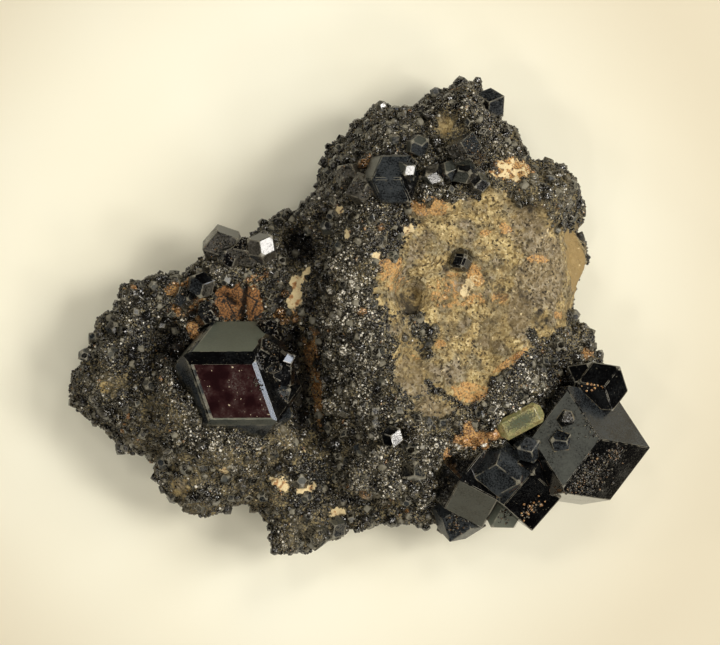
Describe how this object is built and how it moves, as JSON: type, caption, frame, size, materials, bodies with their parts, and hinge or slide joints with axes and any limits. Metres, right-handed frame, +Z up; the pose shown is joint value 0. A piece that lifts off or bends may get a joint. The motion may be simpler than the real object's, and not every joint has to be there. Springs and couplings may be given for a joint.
{
  "type": "garnet mineral specimen",
  "caption": "Black dodecahedral garnets grown on a plate of druse-covered rock with a bare tan hollow and a pale green prism; it lies on its broken back.",
  "frame": {"origin": "on the flat patch of the rock's broken back that rests on the table, under the middle of the plate", "axes": "+X along the plate's length, from the lobe with the largest garnet towards the garnet cluster at the other end; +Y across the plate towards its narrow horn; +Z up out of the crystal side"},
  "size_m": [0.1157, 0.0954, 0.0368],
  "materials": {
    "rock": "matt, with a glittering crust of tiny dark crystals",
    "garnet": "glassy, nearly black, dark red where a large face is seen straight on",
    "green_prism": "glassy to greasy, translucent pale yellow-green"
  },
  "bodies": {
    "root": {"matrix": "rock", "great_garnet": "garnet", "southeast_garnets": "garnet", "north_garnet": "garnet", "row_garnets": "garnet", "small_north_garnet": "garnet", "horn_garnet": "garnet", "northwest_garnets": "garnet", "clay_garnets": "garnet", "basin_garnet": "garnet", "knob_garnet": "garnet", "green_prism": "green_prism"}
  },
  "joints": []
}
